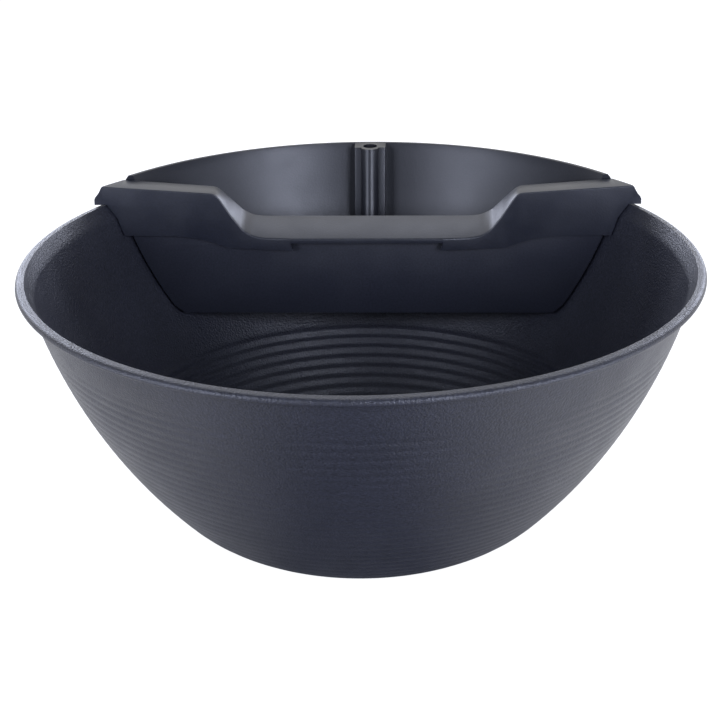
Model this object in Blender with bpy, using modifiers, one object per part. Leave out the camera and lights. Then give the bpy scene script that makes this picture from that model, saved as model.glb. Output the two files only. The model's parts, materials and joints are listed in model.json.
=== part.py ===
"""Deep round gold pan with a D-shaped classifier bin that hangs on its rim.

Frame: metres, +Z up. The origin is the centre of the pan's flat foot, the bin stands at +Y.
"""
import math

import bmesh
import bpy
from mathutils import Matrix, Vector

# Pan
RIM_RADIUS = 0.2000        # outside of the lip
RIM_HEIGHT = 0.1650        # foot to the lip's sharp inner edge
WALL = 0.0026
LIP_WIDTH = 0.0052         # inner edge to the outside of the lip
LIP_DEPTH = 0.0044
LIP_OVERHANG = 0.0064      # outside of the lip to the wall under it
LIP_FLARE_DEPTH = 0.0085   # height over which the inner wall opens out to the lip's edge
WALL_ARC = 0.3200          # large radius of the side wall, seen in section
CORNER_ARC = 0.0670        # radius that turns the wall into the foot
FOOT_RADIUS = 0.0705
RIFFLE_COUNT = 8
RIFFLE_PITCH = 0.0055      # measured upwards
RIFFLE_RISE = 0.0009
RIFFLE_LOWEST = 0.0180     # height of the lowest riffle above the foot
SIDES = 64                 # flats round every large turned piece

# Bin: everything here hangs from the lip, so heights are counted from the lip's edge
BIN_GAP = 0.0012           # bin to the pan's wall
SEAT_GAP = 0.0003          # touching faces
SHELL_WALL = 0.0024
BIN_DEPTH = 0.0760         # lip's edge down to the bin's underside
BIN_TOP = 0.0140           # top edge of the shell above the lip's edge
HOOD_PROUD = 0.0008        # hood beyond the outside of the lip
LEDGE_WIDTH = 0.0070
LEDGE_THICKNESS = 0.0022

# Cross handle
HANDLE_FRONT = 0.0978      # front face, from the pan's axis
HANDLE_REAR = 0.1173
GRIP_BULGE = 0.0035        # how far the grip stands forward of the front face
HANDLE_WALL = 0.0029
HANDLE_BEND = 0.0900       # half-distance between the two creases
TAB_INNER = 0.0480         # half-width of the space between the two tabs
END_RISE = 0.0119          # height of the lands near the rim
REAR_SKIRT = 0.0100

# Front plate
PLATE_THICKNESS = 0.0029

# Rear column with its socket
COLUMN_WIDTH = 0.0210
COLUMN_STANDING = 0.0115   # block out of the shell's inner face
COLUMN_NOSE_RADIUS = 0.0061
COLUMN_LENGTH = 0.0640
SOCKET_RADIUS = 0.0048
SOCKET_DEPTH = 0.0220

# Fasteners
SCREW_RADIUS = 0.0015
SCREW_HEAD_RADIUS = 0.0032
SCREW_HEAD_HEIGHT = 0.0018
SCREW_CLEARANCE = 0.0003
BOSS_RADIUS = 0.0037

# Screen
SCREEN_THICKNESS = 0.0025
SCREEN_HOLE_RADIUS = 0.0040
SCREEN_PITCH = 0.0130

PLATE_FRONT = HANDLE_FRONT + HANDLE_WALL + 2 * SEAT_GAP
PLATE_REAR = PLATE_FRONT + PLATE_THICKNESS
SHELL_FRONT = PLATE_REAR + SEAT_GAP
SHELL_REST = HANDLE_REAR + SEAT_GAP       # the hood starts behind the handle
LIP_INNER = RIM_RADIUS - LIP_WIDTH
HOOD_RADIUS = RIM_RADIUS + HOOD_PROUD
BIN_BOTTOM = RIM_HEIGHT - BIN_DEPTH
LEDGE_TOP = BIN_BOTTOM + LEDGE_THICKNESS
SHELL_OUT = WALL + BIN_GAP                # inset of the shell's outer face from the pan's outer face
SHELL_IN = SHELL_OUT + SHELL_WALL
SHELL_MID = (SHELL_OUT + SHELL_IN) / 2


def clear_scene():
    for item in list(bpy.data.objects):
        bpy.data.objects.remove(item, do_unlink=True)


clear_scene()
PARTS = bpy.data.collections.new("gold_pan")
CUTTERS = bpy.data.collections.new("cutters")
bpy.context.scene.collection.children.link(PARTS)
bpy.context.scene.collection.children.link(CUTTERS)


# ---------------------------------------------------------------- section of the pan's wall

def wall_arc_centre():
    """Centre of the large arc: it passes under the lip and meets the corner arc smoothly."""
    top = Vector((RIM_RADIUS - LIP_OVERHANG, RIM_HEIGHT - LIP_DEPTH))
    corner = Vector((FOOT_RADIUS, CORNER_ARC))
    across = corner - top
    distance = across.length
    along = (WALL_ARC ** 2 - (WALL_ARC - CORNER_ARC) ** 2 + distance ** 2) / (2 * distance)
    aside = math.sqrt(WALL_ARC ** 2 - along ** 2)
    unit = across / distance
    return top + unit * along + Vector((unit.y, -unit.x)) * aside


ARC_CENTRE = wall_arc_centre()
CORNER_CENTRE = Vector((FOOT_RADIUS, CORNER_ARC))
JOIN = (CORNER_CENTRE - ARC_CENTRE).normalized()


def wall_radius(height, inset=0.0):
    """Radius at a height of the surface that runs parallel to the pan's outside, inset inwards."""
    join_height = CORNER_CENTRE.y + JOIN.y * (CORNER_ARC - inset)
    if height > join_height:
        reach = WALL_ARC - inset
        return ARC_CENTRE.x + math.sqrt(reach ** 2 - (height - ARC_CENTRE.y) ** 2)
    reach = CORNER_ARC - inset
    return CORNER_CENTRE.x + math.sqrt(max(reach ** 2 - (height - CORNER_CENTRE.y) ** 2, 0.0))


def wall_run(start, end, inset, pieces):
    """Points down or up the wall between two heights, evenly spaced in height."""
    points = []
    for index in range(pieces + 1):
        height = start + (end - start) * index / pieces
        points.append((wall_radius(height, inset), height))
    return points


def corner_run(start, inset, pieces):
    """Points round the corner arc from a height down to the foot's flat."""
    reach = CORNER_ARC - inset
    first = math.asin((CORNER_ARC - start) / reach)
    points = []
    for index in range(1, pieces + 1):
        angle = first + (math.pi / 2 - first) * index / pieces
        points.append((FOOT_RADIUS + reach * math.cos(angle), CORNER_ARC - reach * math.sin(angle)))
    return points


# ---------------------------------------------------------------- modelling helpers

def material(name, colour, roughness, metallic=0.0):
    made = bpy.data.materials.new(name)
    made.use_nodes = True
    shader = made.node_tree.nodes["Principled BSDF"]
    shader.inputs["Base Color"].default_value = (*colour, 1.0)
    shader.inputs["Roughness"].default_value = roughness
    shader.inputs["Metallic"].default_value = metallic
    return made


def place(name, mesh, collection=PARTS, look=None):
    made = bpy.data.objects.new(name, mesh)
    collection.objects.link(made)
    if look is not None:
        mesh.materials.append(look)
    if collection is CUTTERS:
        made.hide_render = True
        made.display_type = "WIRE"
    return made


def from_bmesh(name, shape, collection=PARTS, look=None):
    bmesh.ops.recalc_face_normals(shape, faces=shape.faces)
    mesh = bpy.data.meshes.new(name)
    shape.to_mesh(mesh)
    shape.free()
    return place(name, mesh, collection, look)


def turned(name, profile, collection=PARTS, look=None):
    """Closed section, listed down its outer side, turned round the Z axis."""
    mesh = bpy.data.meshes.new(name)
    count = len(profile)
    edges = [(index, (index + 1) % count) for index in range(count)]
    if profile[0][0] == 0.0 and profile[-1][0] == 0.0:
        edges.pop()
    mesh.from_pydata([(radius, 0.0, height) for radius, height in profile], edges, [])
    made = place(name, mesh, collection, look)
    screw = made.modifiers.new("turn", "SCREW")
    screw.axis = "Z"
    screw.angle = math.tau
    screw.steps = SIDES
    screw.render_steps = SIDES
    screw.use_merge_vertices = True
    screw.merge_threshold = 0.00002
    return made


def slab(name, outline, axis, low, high, collection=CUTTERS, look=None):
    """Flat outline in XY (axis Z) or XZ (axis Y), thickened from low to high along the axis."""
    shape = bmesh.new()
    corners = []
    for across, up in outline:
        spot = (across, up, low) if axis == "Z" else (across, low, up)
        corners.append(shape.verts.new(spot))
    face = shape.faces.new(corners)
    shape.normal_update()
    towards = Vector((0, 0, 1)) if axis == "Z" else Vector((0, 1, 0))
    if face.normal.dot(towards) > 0:
        face.normal_flip()
    mesh = bpy.data.meshes.new(name)
    shape.to_mesh(mesh)
    shape.free()
    made = place(name, mesh, collection, look)
    thicken = made.modifiers.new("thicken", "SOLIDIFY")
    thicken.thickness = high - low
    thicken.offset = -1.0
    return made


def rod(name, centre, radius, length, axis="Z", sides=16, collection=CUTTERS, look=None, tip_radius=None):
    """Cylinder or cone that starts at the centre and runs along +Z or +Y."""
    shape = bmesh.new()
    tip = radius if tip_radius is None else tip_radius
    bmesh.ops.create_cone(shape, cap_ends=True, segments=sides, radius1=radius, radius2=tip, depth=length)
    shift = Matrix.Translation((0, 0, length / 2))
    turn = Matrix.Identity(4) if axis == "Z" else Matrix.Rotation(-math.pi / 2, 4, "X")
    bmesh.ops.transform(shape, verts=shape.verts, matrix=turn @ shift)
    made = from_bmesh(name, shape, collection, look)
    made.location = centre
    return made


def box(name, low, high, collection=CUTTERS, look=None):
    shape = bmesh.new()
    bmesh.ops.create_cube(shape, size=1.0)
    size = Vector(high) - Vector(low)
    bmesh.ops.scale(shape, vec=size, verts=shape.verts)
    made = from_bmesh(name, shape, collection, look)
    made.location = (Vector(low) + Vector(high)) / 2
    return made


def loft(name, sections, collection=PARTS, look=None):
    """Skin over sections with the same number of corners, closed at both ends."""
    shape = bmesh.new()
    rings = []
    for section in sections:
        rings.append([shape.verts.new(corner) for corner in section])
    count = len(rings[0])
    for ring, following in zip(rings, rings[1:]):
        for index in range(count):
            after = (index + 1) % count
            shape.faces.new((ring[index], ring[after], following[after], following[index]))
    shape.faces.new(rings[0])
    shape.faces.new(rings[-1])
    return from_bmesh(name, shape, collection, look)


def combine(target, tool, operation):
    step = target.modifiers.new(tool.name, "BOOLEAN")
    step.object = tool
    step.operation = operation
    step.solver = "EXACT"


def cut(target, tool):
    combine(target, tool, "DIFFERENCE")


def join(target, tool):
    combine(target, tool, "UNION")


def keep(target, tool):
    combine(target, tool, "INTERSECT")


def mirrored(points):
    """Outline given from the middle out to +X, completed with its twin at -X."""
    twin = [(-x, z) for x, z in reversed(points) if x > 0.0]
    return twin + list(points)


CHARCOAL = material("charcoal_plastic", (0.036, 0.040, 0.050), 0.45)
HANDLE_GREY = material("handle_plastic", (0.040, 0.043, 0.054), 0.42)
PLATE_DARK = material("plate_plastic", (0.022, 0.024, 0.030), 0.40)
SCREEN_DARK = material("screen_plastic", (0.026, 0.028, 0.034), 0.50)
STEEL = material("zinc_steel", (0.58, 0.59, 0.60), 0.35, 1.0)


# ---------------------------------------------------------------- the pan

def lip_profile():
    """Lip from its inner edge over the top and round its outer edge to the wall."""
    return [
        (LIP_INNER, RIM_HEIGHT),
        (RIM_RADIUS - 0.0018, RIM_HEIGHT - 0.0003),
        (RIM_RADIUS - 0.0006, RIM_HEIGHT - 0.0010),
        (RIM_RADIUS, RIM_HEIGHT - 0.0022),
        (RIM_RADIUS, RIM_HEIGHT - LIP_DEPTH + 0.0010),
        (RIM_RADIUS - 0.0009, RIM_HEIGHT - LIP_DEPTH + 0.0001),
    ]


def riffle_profile():
    """Inner wall from the lowest riffle up: a valley and a crest for each riffle."""
    points = []
    for index in range(RIFFLE_COUNT):
        valley = RIFFLE_LOWEST + index * RIFFLE_PITCH
        crest = valley + RIFFLE_PITCH / 2
        points.append((wall_radius(valley, WALL), valley))
        points.append((wall_radius(crest, WALL + RIFFLE_RISE), crest))
    return points


def make_pan():
    under_lip = RIM_HEIGHT - LIP_DEPTH
    outside = wall_run(under_lip, RIFFLE_LOWEST, 0.0, 15) + corner_run(RIFFLE_LOWEST, 0.0, 4)
    foot = [(0.0, 0.0), (0.0, WALL)]
    inside = list(reversed(corner_run(RIFFLE_LOWEST, WALL, 4))) + riffle_profile()
    above_riffles = RIFFLE_LOWEST + RIFFLE_COUNT * RIFFLE_PITCH
    inside += wall_run(above_riffles, RIM_HEIGHT - LIP_FLARE_DEPTH, WALL, 8)
    turned("pan_bowl", lip_profile() + outside + foot + inside, look=CHARCOAL)


# ---------------------------------------------------------------- the bin's rear shell

def hood_outline():
    """Outside of the hood from its rounded top down to the seat on the lip."""
    return [
        (LIP_INNER + 0.0003, RIM_HEIGHT + BIN_TOP),
        (RIM_RADIUS - 0.0037, RIM_HEIGHT + 0.0122),
        (RIM_RADIUS - 0.0018, RIM_HEIGHT + 0.0080),
        (HOOD_RADIUS, RIM_HEIGHT + 0.0045),
        (HOOD_RADIUS, RIM_HEIGHT + SEAT_GAP),
    ]


def hood_hollow():
    """Inside of the hood from its seat on the lip up to the apex and down the shell's outer face."""
    skirt = HOOD_RADIUS - SHELL_WALL
    return [
        (skirt, RIM_HEIGHT + SEAT_GAP),
        (skirt, RIM_HEIGHT + 0.0037),
        (RIM_RADIUS - 0.0046, RIM_HEIGHT + 0.0082),
        (LIP_INNER - 0.0009, RIM_HEIGHT + 0.0096),
    ]


def shell_profile():
    straight_from = RIM_HEIGHT - LIP_FLARE_DEPTH
    outer = wall_run(straight_from, BIN_BOTTOM, SHELL_OUT, 7)
    ledge_inner = wall_radius(LEDGE_TOP, SHELL_IN) - LEDGE_WIDTH
    ledge = [(ledge_inner, BIN_BOTTOM), (ledge_inner, LEDGE_TOP)]
    inner = wall_run(LEDGE_TOP, straight_from, SHELL_IN, 7)
    top = [(LIP_INNER + 0.0003 - SHELL_WALL, RIM_HEIGHT + BIN_TOP)]
    return hood_outline() + hood_hollow() + outer + ledge + inner + top


def chord_half_width(height, inset, along_y):
    return math.sqrt(wall_radius(height, inset) ** 2 - along_y ** 2)


FLANGE_SET_BACK = 0.0027                  # room for the plate's screw bosses
FLANGE_FRONT = SHELL_FRONT + FLANGE_SET_BACK
FLANGE_REAR = FLANGE_FRONT + SHELL_WALL
FLANGE_WIDTH = 0.0120
PLATE_SCREW_SHARE = 0.68                  # across the flange, from its outer edge
HANDLE_REST_DEPTH = 0.0012                # the shell's ends stop this far below the lip's edge
BRACKET_TOP = RIM_HEIGHT - 0.0020
BRACKET_LOW = BRACKET_TOP - 0.0030
BRACKET_REAR = HANDLE_REAR - HANDLE_WALL - SEAT_GAP
BRACKET_INNER = 0.1060
HANDLE_SCREW_X = (0.1130, 0.1320)
HANDLE_SCREW_Y = (SHELL_FRONT + BRACKET_REAR) / 2
PLATE_SCREW_HEIGHTS = (RIM_HEIGHT - 0.0220, RIM_HEIGHT - 0.0600)
SCREEN_SCREW_ANGLES = (52.0, 78.0, 102.0, 128.0)


def plate_screw_spots():
    spots = []
    for height in PLATE_SCREW_HEIGHTS:
        across = chord_half_width(height, SHELL_MID, FLANGE_REAR) - FLANGE_WIDTH * PLATE_SCREW_SHARE
        spots.append((across, height))
        spots.append((-across, height))
    return spots


def handle_screw_spots():
    spots = []
    for side in (-1, 1):
        for across in HANDLE_SCREW_X:
            spots.append((side * across, HANDLE_SCREW_Y))
    return spots


def screen_screw_spots():
    reach = wall_radius(LEDGE_TOP, SHELL_IN) - LEDGE_WIDTH / 2
    spots = []
    for degrees in SCREEN_SCREW_ANGLES:
        angle = math.radians(degrees)
        spots.append((reach * math.cos(angle), reach * math.sin(angle)))
    return spots


def shell_flange(side):
    """Upright flange behind the plate, grown out of the shell's end."""
    low = BIN_BOTTOM + LEDGE_THICKNESS / 2
    high = (BRACKET_TOP + BRACKET_LOW) / 2
    outer = []
    pieces = 7
    for index in range(pieces + 1):
        height = high + (low - high) * index / pieces
        outer.append((side * chord_half_width(height, SHELL_MID, FLANGE_REAR), height))
    inner = [(x - side * FLANGE_WIDTH, z) for x, z in reversed(outer)]
    return slab(f"flange_{side}", outer + inner, "Y", FLANGE_FRONT, FLANGE_REAR)


def shell_bracket(side):
    """Level tab under the handle's land, for the handle's screws."""
    front = chord_half_width(BRACKET_LOW, SHELL_MID, SHELL_FRONT)
    rear = chord_half_width(BRACKET_LOW, SHELL_MID, BRACKET_REAR)
    outline = [
        (side * BRACKET_INNER, SHELL_FRONT),
        (side * front, SHELL_FRONT),
        (side * rear, BRACKET_REAR),
        (side * BRACKET_INNER, BRACKET_REAR),
    ]
    return slab(f"bracket_{side}", outline, "Z", BRACKET_LOW, BRACKET_TOP)


def column_frame():
    """Place and lean of the rear column: it lies along the shell's inner face."""
    top = Vector((0, LIP_INNER + 0.0003 - SHELL_WALL, RIM_HEIGHT + BIN_TOP))
    foot_height = RIM_HEIGHT + BIN_TOP - COLUMN_LENGTH
    foot = Vector((0, wall_radius(foot_height, SHELL_IN), foot_height))
    lean = math.atan2(top.y - foot.y, top.z - foot.z)
    return top, foot, lean


def make_column(shell):
    top, foot, lean = column_frame()
    height = (top - foot).length
    buried = SHELL_WALL * 0.8
    corner = (COLUMN_WIDTH / 2, buried, height + 0.010)
    block = box("column_block", (-COLUMN_WIDTH / 2, -COLUMN_STANDING, 0), corner)
    nose = rod("column_nose", (0, 0, 0), COLUMN_NOSE_RADIUS, height + 0.010, sides=20)
    for piece, shift in ((block, Vector(block.location)), (nose, Vector((0, 0.0008 - COLUMN_STANDING, 0)))):
        turn = Matrix.Rotation(-lean, 4, "X")
        piece.matrix_world = Matrix.Translation(foot) @ turn @ Matrix.Translation(shift)
        join(shell, piece)
    over = box("above_shell", (-0.05, 0.10, top.z), (0.05, 0.25, top.z + 0.05))
    cut(shell, over)
    middle = top.y - COLUMN_STANDING + COLUMN_NOSE_RADIUS / 2
    socket = rod("socket", (0, middle, top.z - SOCKET_DEPTH), SOCKET_RADIUS, SOCKET_DEPTH + 0.01, sides=20)
    cut(shell, socket)


def make_shell():
    shell = turned("bin_shell", shell_profile(), look=CHARCOAL)
    reach = 2 * RIM_RADIUS
    keep(shell, box("rear_half", (-reach, SHELL_FRONT, 0), (reach, reach, reach)))
    rest = box("handle_rest", (-reach, 0, RIM_HEIGHT - HANDLE_REST_DEPTH), (reach, SHELL_REST, reach))
    cut(shell, rest)
    for side in (-1, 1):
        join(shell, shell_flange(side))
        join(shell, shell_bracket(side))
    make_column(shell)
    hole = SCREW_RADIUS + SCREW_CLEARANCE
    for number, (x, y) in enumerate(handle_screw_spots(), 1):
        cut(shell, rod(f"bracket_hole_{number}", (x, y, BRACKET_LOW - 0.005), hole, 0.013, sides=12))
    for number, (x, z) in enumerate(plate_screw_spots(), 1):
        cut(shell, rod(f"flange_hole_{number}", (x, FLANGE_FRONT - 0.001, z), hole, 0.005, "Y", sides=12))
    for number, (x, y) in enumerate(screen_screw_spots(), 1):
        cut(shell, rod(f"ledge_hole_{number}", (x, y, BIN_BOTTOM - 0.005), hole, 0.012, sides=12))


# ---------------------------------------------------------------- the cross handle

def handle_front_line():
    """Top edge of the handle's front face, from the middle to beyond the rim; heights above the lip."""
    return [
        (0.0000, -0.0220), (0.0670, -0.0220), (0.0740, -0.0206), (0.0800, -0.0168),
        (0.0870, -0.0078), (0.0940, 0.0036), (0.0962, 0.0064), (0.0990, 0.0078),
        (RIM_RADIUS - 0.0400, END_RISE), (RIM_RADIUS - 0.0100, END_RISE + 0.0020),
    ]


def handle_rear_line():
    """Top edge of the handle's rear face, point for point with the front."""
    return [
        (0.0000, -0.0133), (0.0670, -0.0133), (0.0745, -0.0124), (0.0810, -0.0092),
        (0.0870, -0.0034), (0.0930, 0.0024), (0.0962, 0.0053), (0.0992, 0.0068),
        (RIM_RADIUS - 0.0400, END_RISE - 0.0004), (RIM_RADIUS - 0.0100, END_RISE + 0.0016),
    ]


def lowered(line, depth):
    """The same line moved square to itself by a depth, downwards."""
    points = []
    for index, (x, z) in enumerate(line):
        before = line[max(index - 1, 0)]
        after = line[min(index + 1, len(line) - 1)]
        along = Vector((after[0] - before[0], after[1] - before[1])).normalized()
        if index == 0:
            along = Vector((1, 0))
        points.append((x + along.y * depth, z - along.x * depth))
    return points


def front_face(x):
    """Depth of the front face: level outside the creases, coming forward to the grip."""
    share = (HANDLE_BEND - abs(x)) / (HANDLE_BEND - TAB_INNER)
    return HANDLE_FRONT - GRIP_BULGE * min(max(share, 0.0), 1.0)


def handle_sections(front_line, rear_line, front_inset, rear_inset, low):
    """Cross-sections of the handle from -X to +X: front top, rear top, rear low, front low."""
    sections = []
    for (fx, fz), (rx, rz) in zip(mirrored(front_line), mirrored(rear_line)):
        front = front_face(fx) + front_inset
        rear = HANDLE_REAR - rear_inset
        sections.append([
            (fx, front, RIM_HEIGHT + fz),
            (rx, rear, RIM_HEIGHT + rz),
            (rx, rear, RIM_HEIGHT + low),
            (fx, front, RIM_HEIGHT + low),
        ])
    return sections


def with_tab_corners(line):
    """Adds the points where the front face bends, so that both are exact."""
    points = list(line)
    for x in (TAB_INNER, HANDLE_BEND):
        for index, (start, end) in enumerate(zip(points, points[1:])):
            if start[0] < x < end[0]:
                share = (x - start[0]) / (end[0] - start[0])
                points.insert(index + 1, (x, start[1] + (end[1] - start[1]) * share))
                break
    return points


def skirt_line():
    """Lower edge of the front skirt: lip of the grip, tab, then up to the rim; heights above the lip."""
    grip_edge = handle_front_line()[0][1] - HANDLE_WALL
    return [
        (0.0, grip_edge), (TAB_INNER + 0.0012, grip_edge), (TAB_INNER, -0.0298), (HANDLE_BEND, -0.0292),
        (0.0990, -0.0258), (0.1090, -0.0228), (0.1245, -0.0211), (RIM_RADIUS - 0.0440, -0.0207),
        (RIM_RADIUS + 0.0200, -0.0207),
    ]


def below(line, low):
    """Outline of everything under a line, down to a level."""
    full = mirrored(line)
    outline = [(x, RIM_HEIGHT + z) for x, z in full]
    outline += [(full[-1][0], RIM_HEIGHT + low), (full[0][0], RIM_HEIGHT + low)]
    return outline


def handle_envelope():
    """Room that the handle may fill: inside the pan's wall below the lip, the hood's shape above."""
    low = RIM_HEIGHT - 0.040
    inside = [(LIP_INNER - 0.0009, RIM_HEIGHT + SEAT_GAP)]
    inside += wall_run(RIM_HEIGHT - LIP_FLARE_DEPTH, low, WALL + BIN_GAP, 4)
    top = RIM_HEIGHT + BIN_TOP + 0.005
    return [(0.0, top), (LIP_INNER - 0.0006, top)] + hood_outline()[1:] + inside + [(0.0, low)]


def handle_hollow_envelope():
    """The same room, less the handle's wall over the lip, and wide open below it."""
    low = RIM_HEIGHT - 0.050
    skirt = HOOD_RADIUS - HANDLE_WALL
    over = [
        (RIM_RADIUS - 0.0070, RIM_HEIGHT + 0.0118),
        (RIM_RADIUS - 0.0050, RIM_HEIGHT + 0.0080),
        (skirt, RIM_HEIGHT + 0.0040),
        (skirt, RIM_HEIGHT - 0.0010),
        (RIM_RADIUS + 0.0200, RIM_HEIGHT - 0.0010),
        (RIM_RADIUS + 0.0200, low),
        (0.0, low),
    ]
    top = RIM_HEIGHT + BIN_TOP + 0.005
    return [(0.0, top), (RIM_RADIUS - 0.0100, top)] + over


def make_handle():
    front = with_tab_corners(handle_front_line())
    rear = with_tab_corners(handle_rear_line())
    handle = loft("cross_handle", handle_sections(front, rear, 0, 0, -0.0340), look=HANDLE_GREY)
    round_over = handle.modifiers.new("round_over", "BEVEL")
    round_over.width = 0.0008
    round_over.segments = 2
    round_over.limit_method = "ANGLE"
    round_over.angle_limit = math.radians(50)
    hollow_front = lowered(front, HANDLE_WALL)
    hollow_rear = lowered(rear, HANDLE_WALL)
    hollow_shape = handle_sections(hollow_front, hollow_rear, HANDLE_WALL, HANDLE_WALL, -0.0500)
    hollow = loft("handle_hollow", hollow_shape, CUTTERS)
    keep(hollow, turned("hollow_envelope", handle_hollow_envelope(), CUTTERS))
    cut(handle, hollow)
    cut(handle, slab("under_skirt", below(skirt_line(), -0.060), "Y", 0.080, PLATE_REAR))
    rear_edge = [(x, z - REAR_SKIRT) for x, z in handle_rear_line()]
    cut(handle, slab("under_rear", below(rear_edge, -0.060), "Y", BRACKET_REAR - 0.002, 0.130))
    keep(handle, turned("handle_envelope", handle_envelope(), CUTTERS))
    for number, (x, y) in enumerate(handle_screw_spots(), 1):
        low = BRACKET_TOP + SEAT_GAP
        land = RIM_HEIGHT + land_height(abs(x)) - HANDLE_WALL / 2
        join(handle, rod(f"handle_boss_{number}", (x, y, low), BOSS_RADIUS, land - low))
        hole_top = land - HANDLE_WALL / 2 - 0.0005
        depth = hole_top - low + 0.002
        radius = SCREW_RADIUS + SCREW_CLEARANCE
        cut(handle, rod(f"boss_hole_{number}", (x, y, low - 0.002), radius, depth, sides=12))


def land_height(x):
    """Height of the handle's land above the lip at a distance from the middle."""
    inner, outer = handle_rear_line()[-3], handle_rear_line()[-2]
    return inner[1] + (outer[1] - inner[1]) * (x - inner[0]) / (outer[0] - inner[0])


# ---------------------------------------------------------------- the front plate

def plate_outline():
    """Plate seen from the front: under the handle along its top, along the pan's wall at its ends."""
    under_handle = lowered(handle_front_line(), HANDLE_WALL + 0.0009)
    shoulder = RIM_RADIUS - 0.0500
    top = [(x, z) for x, z in under_handle if x < shoulder]
    top.append((shoulder, under_handle[-2][1] - 0.0006))
    side = [(shoulder, -0.0010)]
    pieces = 7
    low = -BIN_DEPTH
    for index in range(pieces + 1):
        depth = -0.0010 + (low + 0.0010) * index / pieces
        side.append((chord_half_width(RIM_HEIGHT + depth, SHELL_OUT, PLATE_REAR), depth))
    rounded = side[-1][0] - 0.0030
    side[-1] = (side[-1][0] + 0.0006, low + 0.0030)
    side.append((rounded, low))
    outline = mirrored(top + side)
    return [(x, RIM_HEIGHT + z) for x, z in outline]


def make_plate():
    plate = slab("front_plate", plate_outline(), "Y", PLATE_FRONT, PLATE_REAR, PARTS, PLATE_DARK)
    half = chord_half_width(LEDGE_TOP, SHELL_IN, FLANGE_REAR) - FLANGE_WIDTH - 0.004
    shelf_rear = FLANGE_REAR + 0.0050
    shelf = box("plate_shelf", (-half, PLATE_REAR - 0.001, BIN_BOTTOM), (half, shelf_rear, LEDGE_TOP))
    join(plate, shelf)
    hole = SCREW_RADIUS + SCREW_CLEARANCE
    for number, (x, z) in enumerate(plate_screw_spots(), 1):
        length = FLANGE_FRONT - SEAT_GAP - PLATE_REAR + 0.001
        join(plate, rod(f"plate_boss_{number}", (x, PLATE_REAR - 0.001, z), BOSS_RADIUS, length, "Y"))
        start = PLATE_FRONT + PLATE_THICKNESS / 2
        cut(plate, rod(f"plate_hole_{number}", (x, start, z), hole, 0.010, "Y", sides=12))


# ---------------------------------------------------------------- the screen

def screen_outline():
    """D-shaped outline that drops onto the ledges."""
    low = LEDGE_TOP + SEAT_GAP
    reach = wall_radius(low, SHELL_IN) - 0.0006
    chord = FLANGE_REAR + SEAT_GAP + 0.0002
    end = math.asin(chord / reach)
    step = math.tau / SIDES
    angles = [end]
    angles += [index * step for index in range(SIDES) if end + 0.01 < index * step < math.pi - end - 0.01]
    angles.append(math.pi - end)
    return [(reach * math.cos(angle), reach * math.sin(angle)) for angle in angles], reach, chord


def screen_holes(reach, chord):
    """Perforations in staggered rows that stay clear of the ledges."""
    centres = []
    row = 0
    y = chord + LEDGE_WIDTH + SCREEN_HOLE_RADIUS
    limit = reach - LEDGE_WIDTH - SCREEN_HOLE_RADIUS - 0.0015
    while y < limit:
        shift = SCREEN_PITCH / 2 if row % 2 else 0.0
        count = int(limit / SCREEN_PITCH) + 1
        for index in range(-count, count + 1):
            x = index * SCREEN_PITCH + shift
            if math.hypot(x, y) < limit:
                centres.append((x, y))
        y += SCREEN_PITCH * math.sqrt(3) / 2
        row += 1
    return centres


def make_screen():
    low = LEDGE_TOP + SEAT_GAP
    outline, reach, chord = screen_outline()
    screen = slab("screen_floor", outline, "Z", low, low + SCREEN_THICKNESS, PARTS, SCREEN_DARK)
    shape = bmesh.new()
    for x, y in screen_holes(reach, chord):
        made = bmesh.ops.create_cone(shape, cap_ends=True, segments=8, radius1=SCREEN_HOLE_RADIUS,
                                     radius2=SCREEN_HOLE_RADIUS, depth=4 * SCREEN_THICKNESS)
        bmesh.ops.translate(shape, verts=made["verts"], vec=(x, y, low))
    cut(screen, from_bmesh("perforations", shape, CUTTERS))
    hole = SCREW_RADIUS + SCREW_CLEARANCE
    for number, (x, y) in enumerate(screen_screw_spots(), 1):
        cut(screen, rod(f"screen_hole_{number}", (x, y, low - 0.005), hole, 0.012, sides=12))


# ---------------------------------------------------------------- screws

def make_screw(name, head_face, length, axis, towards):
    """Pan-head screw: the head's flat face at head_face, its shank running towards +1 or -1."""
    unit = Vector((0, 0, 1)) if axis == "Z" else Vector((0, 1, 0))
    start = Vector(head_face)
    shank_start = start if towards > 0 else start - unit * length
    overlap = 0.0004
    shank_start = shank_start - unit * overlap if towards > 0 else shank_start
    screw = rod(name, shank_start, SCREW_RADIUS, length + overlap, axis, 12, PARTS, STEEL)
    head_start = start - unit * SCREW_HEAD_HEIGHT if towards > 0 else start
    wide, narrow = SCREW_HEAD_RADIUS, SCREW_HEAD_RADIUS * 0.7
    ends = (narrow, wide) if towards > 0 else (wide, narrow)
    head = rod(f"{name}_head", head_start, ends[0], SCREW_HEAD_HEIGHT, axis, 16, tip_radius=ends[1])
    join(screw, head)


def make_screws():
    for number, (x, y) in enumerate(handle_screw_spots(), 1):
        rise = land_height(abs(x)) - HANDLE_WALL
        length = RIM_HEIGHT + rise - 0.0010 - BRACKET_LOW
        make_screw(f"handle_screw_{number}", (x, y, BRACKET_LOW - SEAT_GAP), length, "Z", 1)
    for number, (x, z) in enumerate(plate_screw_spots(), 1):
        length = FLANGE_REAR - PLATE_FRONT - PLATE_THICKNESS / 2 - 0.0002
        make_screw(f"plate_screw_{number}", (x, FLANGE_REAR + SEAT_GAP, z), length, "Y", -1)
    for number, (x, y) in enumerate(screen_screw_spots(), 1):
        top = LEDGE_TOP + SEAT_GAP + SCREEN_THICKNESS
        make_screw(f"screen_screw_{number}", (x, y, top + SEAT_GAP), top - BIN_BOTTOM, "Z", -1)


make_pan()
make_shell()
make_handle()
make_plate()
make_screen()
make_screws()
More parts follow.
